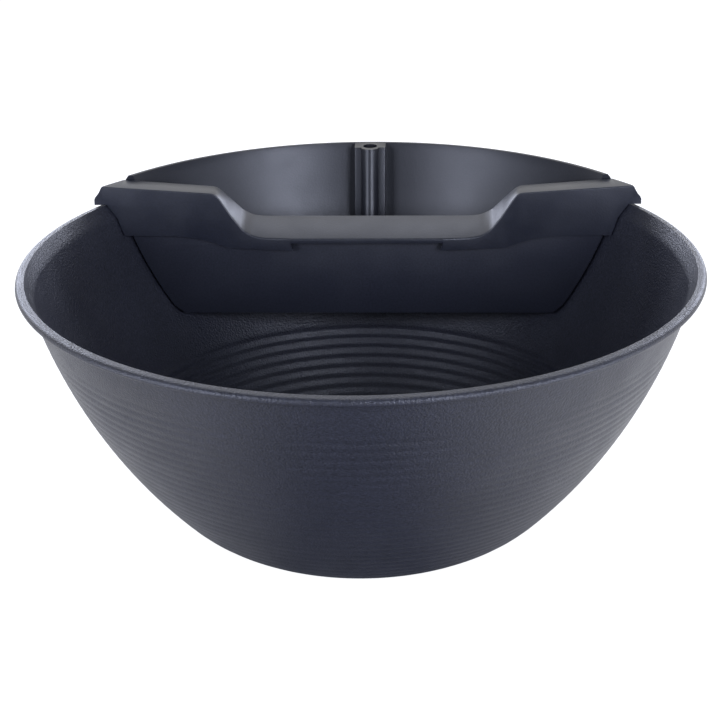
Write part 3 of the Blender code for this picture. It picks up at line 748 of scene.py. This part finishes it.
def make_column(shell):
    """Block with a rounded nose and a round socket, lying along the shell's inner face."""
    top = Vector((0, SHELL_TOP_RADIUS - SHELL_WALL, SHELL_TOP_HEIGHT))
    foot_height = SHELL_TOP_HEIGHT - COLUMN_LENGTH
    foot = Vector((0, wall_radius(foot_height, SHELL_IN), foot_height))
    lean = Matrix.Rotation(-math.atan2(top.y - foot.y, top.z - foot.z), 4, "X")
    height = (top - foot).length + 2 * CUT_PAST
    half = COLUMN_WIDTH / 2
    block = box("column_block", (-half, -COLUMN_STANDING, 0), (half, SHELL_WALL * COLUMN_SINK, height))
    round_edges(block, SMALL_ROUND, 60, 3)
    nose = rod("column_nose", (0, 0, 0), COLUMN_NOSE_RADIUS, height, sides=COLUMN_SIDES)
    nose_shift = Vector((0, NOSE_SET_BACK - COLUMN_STANDING, 0))
    for piece, shift in ((block, Vector(block.location)), (nose, nose_shift)):
        piece.matrix_world = Matrix.Translation(foot) @ lean @ Matrix.Translation(shift)
        join(shell, piece)
    cut(shell, box("above_shell", (-0.05, 0.10, top.z), (0.05, 0.25, top.z + 0.05)))
    middle = top.y - COLUMN_STANDING + COLUMN_NOSE_RADIUS / 2
    mouth = (0, middle, top.z - SOCKET_DEPTH)
    cut(shell, rod("socket", mouth, SOCKET_RADIUS, SOCKET_DEPTH + 2 * CUT_PAST, sides=COLUMN_SIDES))


def make_shell():
    shell = turned("rear_shell", shell_profile(), WORK)
    reach = 2 * RIM_RADIUS
    keep(shell, box("rear_half", (-reach, SHELL_FRONT, 0), (reach, reach, reach)))
    cut(shell, box("handle_rest", (-reach, 0, RIM_HEIGHT - HANDLE_REST_DEPTH), (reach, SHELL_REST, reach)))
    for side in (-1, 1):
        join(shell, shell_flange(side))
        join(shell, shell_bracket(side))
    make_column(shell)
    drill(shell, "bracket_hole", handle_screw_spots(), BRACKET_LOW - CUT_PAST, 0.013)
    drill(shell, "flange_hole", plate_screw_spots(), FLANGE_FRONT - OVERLAP, 0.005, "Y")
    drill(shell, "ledge_hole", screen_screw_spots(), BIN_BOTTOM - CUT_PAST, 0.012)
    settle(shell, "bin", "bin_shell", SHELL_LOOK)


# ---------------------------------------------------------------- the cross handle

def handle_front_line():
    """Top edge of the handle's front face, from the middle to beyond the rim, above the lip."""
    return [
        (0.0000, -0.0220), (0.0670, -0.0220), (0.0740, -0.0206), (0.0800, -0.0168),
        (0.0870, -0.0078), (0.0940, 0.0036), (0.0962, 0.0064), (0.0990, 0.0078),
        (RIM_RADIUS - 0.0400, END_RISE), (RIM_RADIUS - 0.0100, END_RISE + 0.0020),
    ]


def handle_rear_line():
    """Top edge of the handle's rear face, point for point with the front."""
    return [
        (0.0000, -0.0133), (0.0670, -0.0133), (0.0745, -0.0124), (0.0810, -0.0092),
        (0.0870, -0.0034), (0.0930, 0.0024), (0.0962, 0.0053), (0.0992, 0.0068),
        (RIM_RADIUS - 0.0400, END_RISE - 0.0004), (RIM_RADIUS - 0.0100, END_RISE + 0.0016),
    ]


HANDLE_SOFTENING = (0.0014, 0.0005)  # corners of its long lines, in two goes
HANDLE_STEP = 0.004
HANDLE_LOW_EDGE = -0.0340  # below the skirt, from the lip's edge
HOLLOW_LOW_EDGE = -0.0500
TRIM_LOW_EDGE = -0.060


def rounded_pair(front, rear):
    """Both lines with softened corners and short steps, still point for point."""
    for reach in HANDLE_SOFTENING:
        front, rear = corners_cut(front, reach), corners_cut(rear, reach)
    fine_front, fine_rear = [front[0]], [rear[0]]
    for index in range(1, len(front)):
        steps = max(1, math.ceil((front[index][0] - front[index - 1][0]) / HANDLE_STEP))
        for share in (step / steps for step in range(1, steps + 1)):
            fine_front.append(mixed(front[index - 1], front[index], share))
            fine_rear.append(mixed(rear[index - 1], rear[index], share))
    return fine_front, fine_rear


def lowered(line, depth):
    """The same line moved square to itself by a depth, downwards."""
    points = []
    for index, (x, z) in enumerate(line):
        before = line[max(index - 1, 0)]
        after = line[min(index + 1, len(line) - 1)]
        along = Vector((after[0] - before[0], after[1] - before[1])).normalized()
        if index == 0:
            along = Vector((1, 0))
        points.append((x + along.y * depth, z - along.x * depth))
    return points


def front_face(x):
    """Depth of the front face: level outside the creases, coming forward to the grip."""
    share = (HANDLE_BEND - abs(x)) / (HANDLE_BEND - TAB_INNER)
    return HANDLE_FRONT - GRIP_BULGE * min(max(share, 0.0), 1.0)


def handle_sections(front_line, rear_line, front_inset, rear_inset, low):
    """Cross-sections of the handle from -X to +X: front top, rear top, rear low, front low."""
    sections = []
    for (fx, fz), (rx, rz) in zip(mirrored(front_line), mirrored(rear_line)):
        front = front_face(fx) + front_inset
        rear = HANDLE_REAR - rear_inset
        sections.append([
            (fx, front, RIM_HEIGHT + fz),
            (rx, rear, RIM_HEIGHT + rz),
            (rx, rear, RIM_HEIGHT + low),
            (fx, front, RIM_HEIGHT + low),
        ])
    return sections


def with_tab_corners(line):
    """Adds the points where the front face bends, so that both are exact."""
    points = list(line)
    for x in (TAB_INNER, HANDLE_BEND):
        for index, (start, end) in enumerate(zip(points, points[1:])):
            if start[0] < x < end[0]:
                points.insert(index + 1, mixed(start, end, (x - start[0]) / (end[0] - start[0])))
                break
    return points


def skirt_line():
    """Lower edge of the front skirt: lip of the grip, tab, then up to the rim, above the lip."""
    grip_edge = handle_front_line()[0][1] - HANDLE_WALL
    return [
        (0.0, grip_edge), (TAB_INNER + 0.0012, grip_edge), (TAB_INNER, -0.0298), (HANDLE_BEND, -0.0292),
        (0.0990, -0.0258), (0.1090, -0.0228), (0.1245, -0.0211), (RIM_RADIUS - 0.0440, -0.0207),
        (RIM_RADIUS + 0.0200, -0.0207),
    ]


def below(line, low):
    """Outline of everything under a line, down to a level."""
    full = mirrored(line)
    outline = [(x, RIM_HEIGHT + z) for x, z in full]
    return outline + [(full[-1][0], RIM_HEIGHT + low), (full[0][0], RIM_HEIGHT + low)]


def handle_envelope():
    """Room that the handle may fill: inside the pan's wall below the lip, the hood's shape above."""
    low = RIM_HEIGHT - 0.040
    top = SHELL_TOP_HEIGHT + CUT_PAST
    inside = [(LIP_INNER - 0.0009, RIM_HEIGHT + SEAT_GAP)]
    inside += wall_run(RIM_HEIGHT - LIP_FLARE_DEPTH, low, SHELL_OUT, 8)
    outside = corners_cut(hood_outline(), HOOD_ROUND)[1:]
    return [(0.0, top), (LIP_INNER - 0.0006, top)] + outside + inside + [(0.0, low)]


def handle_hollow_envelope():
    """The same room, less the handle's wall over the lip, and wide open below it."""
    low = RIM_HEIGHT + HOLLOW_LOW_EDGE
    skirt = HOOD_RADIUS - HANDLE_WALL
    top = SHELL_TOP_HEIGHT + CUT_PAST
    return [
        (0.0, top), (RIM_RADIUS - 0.0100, top),
        (RIM_RADIUS - 0.0070, RIM_HEIGHT + 0.0118),
        (RIM_RADIUS - 0.0050, RIM_HEIGHT + 0.0080),
        (skirt, RIM_HEIGHT + 0.0040),
        (skirt, RIM_HEIGHT - 0.0010),
        (RIM_RADIUS + 0.0200, RIM_HEIGHT - 0.0010),
        (RIM_RADIUS + 0.0200, low),
        (0.0, low),
    ]


def land_height(x):
    """Height of the handle's land above the lip at a distance from the middle."""
    inner, outer = handle_rear_line()[-3], handle_rear_line()[-2]
    return inner[1] + (outer[1] - inner[1]) * (x - inner[0]) / (outer[0] - inner[0])


def make_handle():
    front, rear = rounded_pair(handle_front_line(), handle_rear_line())
    handle = loft("handle", handle_sections(front, rear, 0, 0, HANDLE_LOW_EDGE), WORK)
    round_edges(handle, EDGE_ROUND, 60, 3)
    inner_front = lowered(with_tab_corners(handle_front_line()), HANDLE_WALL)
    inner_rear = lowered(with_tab_corners(handle_rear_line()), HANDLE_WALL)
    sections = handle_sections(inner_front, inner_rear, HANDLE_WALL, HANDLE_WALL, HOLLOW_LOW_EDGE)
    hollow = loft("handle_hollow", sections)
    keep(hollow, turned("hollow_envelope", handle_hollow_envelope()))
    cut(handle, hollow)
    cut(handle, slab("under_skirt", below(skirt_line(), TRIM_LOW_EDGE), "Y", 0.080, PLATE_REAR))
    rear_edge = [(x, z - REAR_SKIRT) for x, z in handle_rear_line()]
    cut(handle, slab("under_rear", below(rear_edge, TRIM_LOW_EDGE), "Y", BRACKET_REAR - 0.002, 0.130))
    keep(handle, turned("handle_envelope", handle_envelope()))
    for number, (x, y) in enumerate(handle_screw_spots(), 1):
        low = BRACKET_TOP + SEAT_GAP
        land = RIM_HEIGHT + land_height(abs(x)) - HANDLE_WALL / 2
        join(handle, rod(f"handle_boss_{number}", (x, y, low), BOSS_RADIUS, land - low))
        depth = land - HANDLE_WALL / 2 - 0.0005 - low + 0.002
        cut(handle, rod(f"boss_hole_{number}", (x, y, low - 0.002), SCREW_HOLE_RADIUS, depth))
    settle(handle, "bin", "cross_handle", HANDLE_LOOK)


# ---------------------------------------------------------------- plate and screen

PLATE_TOP_GAP = 0.0009     # handle's underside to the plate's top
PLATE_CORNER = 0.0030
PLATE_SIDE_PIECES = 16
SHOULDER_INSET = 0.0500    # rim to the step in the plate's top edge
SHOULDER_DEPTH = 0.0010
SHELF_MARGIN = 0.004       # flange's inner edge to the end of the shelf
SHELF_REACH = 0.0050       # shelf beyond the flange


def plate_outline():
    """Plate seen from the front: under the handle along its top, along the wall at its ends."""
    under_handle = lowered(handle_front_line(), HANDLE_WALL + PLATE_TOP_GAP)
    shoulder = RIM_RADIUS - SHOULDER_INSET
    top = [(x, z) for x, z in under_handle if x < shoulder]
    top.append((shoulder, under_handle[-2][1] - 0.0006))
    side = [(shoulder, -SHOULDER_DEPTH)]
    low = -BIN_DEPTH
    for index in range(PLATE_SIDE_PIECES + 1):
        depth = -SHOULDER_DEPTH + (low + SHOULDER_DEPTH) * index / PLATE_SIDE_PIECES
        side.append((chord_half_width(RIM_HEIGHT + depth, SHELL_OUT, PLATE_REAR), depth))
    rounded = side[-1][0] - PLATE_CORNER
    side[-1] = (side[-1][0] + 0.0006, low + PLATE_CORNER)
    side.append((rounded + 0.0012, low + 0.0008))
    side.append((rounded, low))
    return [(x, RIM_HEIGHT + z) for x, z in mirrored(top + side)]


def make_plate():
    plate = slab("plate", plate_outline(), "Y", PLATE_FRONT, PLATE_REAR, WORK)
    round_edges(plate, SMALL_ROUND, 60)
    half = chord_half_width(LEDGE_TOP, SHELL_IN, FLANGE_REAR) - FLANGE_WIDTH - SHELF_MARGIN
    rear = FLANGE_REAR + SHELF_REACH
    join(plate, box("plate_shelf", (-half, PLATE_REAR - OVERLAP, BIN_BOTTOM), (half, rear, LEDGE_TOP)))
    for number, (x, z) in enumerate(plate_screw_spots(), 1):
        length = FLANGE_FRONT - SEAT_GAP - PLATE_REAR + OVERLAP
        join(plate, rod(f"plate_boss_{number}", (x, PLATE_REAR - OVERLAP, z), BOSS_RADIUS, length, "Y"))
        start = PLATE_FRONT + PLATE_THICKNESS / 2
        cut(plate, rod(f"plate_hole_{number}", (x, start, z), SCREW_HOLE_RADIUS, 0.010, "Y"))
    settle(plate, "bin", "front_plate", PLATE_LOOK)


SCREEN_WALL_GAP = 0.0006
SCREEN_FLANGE_GAP = SEAT_GAP + 0.0002
SCREEN_PIECES = 96
HOLE_MARGIN = 0.0015       # from the ledge to the nearest hole
HOLE_SIDES = 24


def screen_holes(reach, chord):
    """Perforations in staggered rows that stay clear of the ledges."""
    centres = []
    row = 0
    y = chord + LEDGE_WIDTH + SCREEN_HOLE_RADIUS
    limit = reach - LEDGE_WIDTH - SCREEN_HOLE_RADIUS - HOLE_MARGIN
    count = int(limit / SCREEN_PITCH) + 1
    while y < limit:
        shift = SCREEN_PITCH / 2 if row % 2 else 0.0
        spots = [index * SCREEN_PITCH + shift for index in range(-count, count + 1)]
        centres += [(x, y) for x in spots if math.hypot(x, y) < limit]
        y += SCREEN_PITCH * math.sqrt(3) / 2
        row += 1
    return centres


def perforation_tree(spots):
    """Sinks a round hole through the plate at each of the spots."""
    tree, given = geometry_tree("perforations", [
        ("Hole Radius", "NodeSocketFloat", SCREEN_HOLE_RADIUS),
        ("Hole Sides", "NodeSocketInt", HOLE_SIDES),
        ("Spots", "NodeSocketObject", None),
    ])
    source = tree.nodes.new("GeometryNodeObjectInfo")
    source.inputs["Object"].default_value = spots
    punch = tree.nodes.new("GeometryNodeMeshCylinder")
    punch.inputs["Depth"].default_value = 4 * SCREEN_THICKNESS
    tree.links.new(given[1], punch.inputs["Radius"])
    tree.links.new(given[2], punch.inputs["Vertices"])
    set_out = tree.nodes.new("GeometryNodeInstanceOnPoints")
    tree.links.new(source.outputs["Geometry"], set_out.inputs["Points"])
    tree.links.new(punch.outputs["Mesh"], set_out.inputs["Instance"])
    real = tree.nodes.new("GeometryNodeRealizeInstances")
    tree.links.new(set_out.outputs[0], real.inputs[0])
    holes = tree.nodes.new("GeometryNodeMeshBoolean")
    holes.operation = "DIFFERENCE"
    holes.solver = "EXACT"
    tree.links.new(given[0], holes.inputs["Mesh 1"])
    tree.links.new(real.outputs[0], holes.inputs["Mesh 2"])
    finish_tree(tree, holes.outputs[0], SCREEN_LOOK)
    return tree


def make_screen():
    low = SCREEN_LOW.z
    reach = wall_radius(low, SHELL_IN) - SCREEN_WALL_GAP
    chord = FLANGE_REAR + SCREEN_FLANGE_GAP
    end = math.asin(chord / reach)
    angles = [end + (math.pi - 2 * end) * index / SCREEN_PIECES for index in range(SCREEN_PIECES + 1)]
    outline = [(reach * math.cos(angle), reach * math.sin(angle)) for angle in angles]
    screen = slab("screen", outline, "Z", low, low + SCREEN_THICKNESS, WORK)
    mesh = bpy.data.meshes.new("perforation_spots")
    mesh.from_pydata([(x, y, low) for x, y in screen_holes(reach, chord)], [], [])
    use_tree(screen, perforation_tree(place("perforation_spots", mesh)))
    drill(screen, "screen_hole", screen_screw_spots(), low - CUT_PAST, 0.012)
    settle(screen, "bin", "screen_floor", SCREEN_LOOK)


# ---------------------------------------------------------------- screws

def make_screw(name, node, head_turn, size):
    """Pan-head screw with a cross recess and a fine thread, fitted to its CAD box."""
    low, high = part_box(node)
    length = size - SCREW_HEAD_HEIGHT
    head = (high.x - low.x) / 2
    top = SCREW_HEAD_HEIGHT
    profile = [(0.0, top), (head * 0.55, top), (head * 0.80, top * 0.84), (head * 0.95, top * 0.50),
               (head, top * 0.15), (head, 0.0), (SCREW_RADIUS, 0.0)]
    turns = int((length - 0.0015) / THREAD_PITCH)
    for index in range(turns):
        start = -0.0004 - index * THREAD_PITCH
        profile += [(SCREW_RADIUS, start), (SCREW_RADIUS * 0.82, start - THREAD_PITCH / 2)]
    profile.append((SCREW_RADIUS, -0.0006 - turns * THREAD_PITCH))
    profile += [(SCREW_RADIUS * 0.6, -length), (0.0, -length)]
    screw = turned(name, profile, WORK, 32)
    long_side = head * 0.55
    for number, (wide, deep) in enumerate(((long_side, RECESS_WIDTH), (RECESS_WIDTH, long_side))):
        cut(screw, box(f"{name}_recess_{number}", (-wide, -deep, top * 0.45), (wide, deep, top * 2)))
    bpy.context.view_layer.update()
    graph = bpy.context.evaluated_depsgraph_get()
    mesh = bpy.data.meshes.new_from_object(screw.evaluated_get(graph), depsgraph=graph)
    screw.modifiers.clear()
    screw.data = mesh
    shift = Matrix.Translation((0, 0, (length - top) / 2))
    screw.matrix_world = Matrix.Translation((low + high) / 2) @ head_turn @ shift
    bpy.context.view_layer.update()
    settle(screw, "bin", node, STEEL_LOOK)


def make_screws():
    """Heads face down at the handle, towards +Y at the plate and up at the screen."""
    families = [
        ("handle_screw", Matrix.Rotation(math.pi, 4, "X"), 2),
        ("plate_screw", Matrix.Rotation(-math.pi / 2, 4, "X"), 1),
        ("screen_screw", Matrix.Identity(4), 2),
    ]
    for family, head_turn, axis in families:
        for number in range(1, 5):
            node = f"{family}_{number}"
            low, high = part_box(node)
            make_screw(f"fitted_{node}", node, head_turn, high[axis] - low[axis])


# ---------------------------------------------------------------- studio

def seen_and_reflected(tree):
    """Two masks: seen straight by the camera, and seen in a reflection or through glass."""
    path = tree.nodes.new("ShaderNodeLightPath")
    reflected = calc(tree, "MAXIMUM", path.outputs["Is Glossy Ray"], path.outputs["Is Transmission Ray"])
    return path.outputs["Is Camera Ray"], reflected


def backdrop_mask(tree):
    """1 where the white backdrop shows: straight to the camera, or behind the object in a reflection."""
    seen, reflected = seen_and_reflected(tree)
    direction = tree.nodes.new("ShaderNodeSeparateXYZ")
    tree.links.new(tree.nodes.new("ShaderNodeTexCoord").outputs["Generated"], direction.inputs[0])
    behind = spread(tree, direction.outputs["Y"], 0.0, 1.0, -0.10, 0.35)
    return calc(tree, "MAXIMUM", seen, calc(tree, "MULTIPLY", reflected, behind))


LAMP_COLOUR = (0.76, 0.81, 1.0)
AIR_COLOUR = (0.80, 0.88, 1.00, 1.0)
AIR_STRENGTH = 0.24
FLOOR_COLOUR = (0.30, 0.30, 0.31, 1.0)
FLOOR_GLOW = 0.92          # lifts the lit floor to white for the camera; the shadow stays faintly visible
LEFT_SHEEN = 0.80          # how white the floor beside the pan looks in its reflections
RIGHT_SHEEN = 1.00
SHEEN_BAND = (0.04, 0.20)  # distance from the middle over which that white sets in


def make_floor():
    shape = bmesh.new()
    bmesh.ops.create_grid(shape, x_segments=1, y_segments=1, size=4.0)
    floor = from_bmesh("floor", shape, STUDIO)
    made = bpy.data.materials.new("pale_floor")
    made.use_nodes = True
    tree = made.node_tree
    cloth = tree.nodes["Principled BSDF"]
    cloth.inputs["Base Color"].default_value = FLOOR_COLOUR
    cloth.inputs["Roughness"].default_value = 0.9
    glow = tree.nodes.new("ShaderNodeEmission")
    seen, reflected = seen_and_reflected(tree)
    place_on_floor = tree.nodes.new("ShaderNodeSeparateXYZ")
    tree.links.new(tree.nodes.new("ShaderNodeTexCoord").outputs["Object"], place_on_floor.inputs[0])
    across = place_on_floor.outputs["X"]
    sides = calc(tree, "MAXIMUM", spread(tree, across, 0.0, RIGHT_SHEEN, *SHEEN_BAND),
                 spread(tree, calc(tree, "MULTIPLY", across, -1.0), 0.0, LEFT_SHEEN, *SHEEN_BAND))
    lifted = calc(tree, "MULTIPLY", seen, FLOOR_GLOW)
    strength = calc(tree, "MAXIMUM", lifted, calc(tree, "MULTIPLY", reflected, sides))
    tree.links.new(strength, glow.inputs["Strength"])
    both = tree.nodes.new("ShaderNodeAddShader")
    tree.links.new(cloth.outputs[0], both.inputs[0])
    tree.links.new(glow.outputs[0], both.inputs[1])
    tree.links.new(both.outputs[0], tree.nodes["Material Output"].inputs["Surface"])
    floor.data.materials.append(made)


def make_world():
    world = bpy.data.worlds.new("studio_air")
    world.use_nodes = True
    tree = world.node_tree
    air = tree.nodes["Background"]
    air.inputs["Color"].default_value = AIR_COLOUR
    air.inputs["Strength"].default_value = AIR_STRENGTH
    white = tree.nodes.new("ShaderNodeBackground")
    white.inputs["Color"].default_value = (1.0, 1.0, 1.0, 1.0)
    blend = tree.nodes.new("ShaderNodeMixShader")
    tree.links.new(backdrop_mask(tree), blend.inputs[0])
    tree.links.new(air.outputs[0], blend.inputs[1])
    tree.links.new(white.outputs[0], blend.inputs[2])
    tree.links.new(blend.outputs[0], tree.nodes["World Output"].inputs["Surface"])
    bpy.context.scene.world = world


def make_lamp(name, spot, target, width, height, power):
    lamp = bpy.data.lights.new(name, "AREA")
    lamp.shape = "RECTANGLE"
    lamp.size = width
    lamp.size_y = height
    lamp.energy = power
    lamp.color = LAMP_COLOUR
    made = bpy.data.objects.new(name, lamp)
    STUDIO.objects.link(made)
    made.location = spot
    made.rotation_euler = (Vector(target) - Vector(spot)).to_track_quat("-Z", "Y").to_euler()


def make_camera():
    """Long lens from the front, a little to the right and about 20 degrees above the lip."""
    distance = 5.0 * (RIM_RADIUS - 0.0045)
    rise, turn, dip, roll = (math.radians(degrees) for degrees in (19.90, 2.4, 23.45, -0.87))
    spot = Vector((
        distance * math.cos(rise) * math.sin(turn),
        -distance * math.cos(rise) * math.cos(turn),
        RIM_HEIGHT + distance * math.sin(rise),
    ))
    forward = Matrix.Rotation(turn, 3, "Z") @ Vector((0, math.cos(dip), -math.sin(dip)))
    right = forward.cross(Vector((0, 0, 1))).normalized()
    up = right.cross(forward)
    leaned_right = right * math.cos(roll) + up * math.sin(roll)
    leaned_up = up * math.cos(roll) - right * math.sin(roll)
    lens = bpy.data.cameras.new("camera")
    lens.lens = 83.05
    lens.sensor_width = 36.0
    lens.shift_x = -0.0029
    lens.clip_start = 0.05
    lens.clip_end = 20.0
    made = bpy.data.objects.new("camera", lens)
    STUDIO.objects.link(made)
    axes = Matrix((leaned_right, leaned_up, -forward)).transposed().to_4x4()
    made.matrix_world = Matrix.Translation(spot) @ axes
    bpy.context.scene.camera = made


# ---------------------------------------------------------------- everything in its place

make_bowl()
make_shell()
make_handle()
make_plate()
make_screen()
make_screws()
for cutter in list(CUTTERS.objects):
    bpy.data.objects.remove(cutter, do_unlink=True)

make_floor()
make_world()
PAN_MIDDLE = (0.0, 0.0, RIM_HEIGHT * 0.7)
LEFT_SIDE = (-0.20, -0.10, 0.15)
RIGHT_SIDE = (0.20, -0.10, 0.15)
LAMPS = (  # name, place, aim, width, height, watts
    ("left_front_softbox", (-0.84, -1.00, 0.58), PAN_MIDDLE, 0.5, 0.5, 9.5),
    ("right_front_softbox", (0.68, -1.10, 0.62), PAN_MIDDLE, 0.5, 0.5, 13.0),
    ("left_low_softbox", (-0.85, -0.42, 0.16), LEFT_SIDE, 0.35, 0.20, 2.4),
    ("right_low_softbox", (0.85, -0.42, 0.16), RIGHT_SIDE, 0.35, 0.20, 2.8),
    ("left_back_softbox", (-0.80, 1.12, 0.56), PAN_MIDDLE, 0.6, 0.5, 7.5),
    ("right_back_softbox", (0.80, 1.12, 0.56), PAN_MIDDLE, 0.6, 0.5, 7.0),
    ("top_softbox", (0.0, 0.70, 1.25), PAN_MIDDLE, 1.0, 0.6, 2.4),
)
for lamp_facts in LAMPS:
    make_lamp(*lamp_facts)
make_camera()
bpy.context.scene.view_settings.view_transform = "Standard"
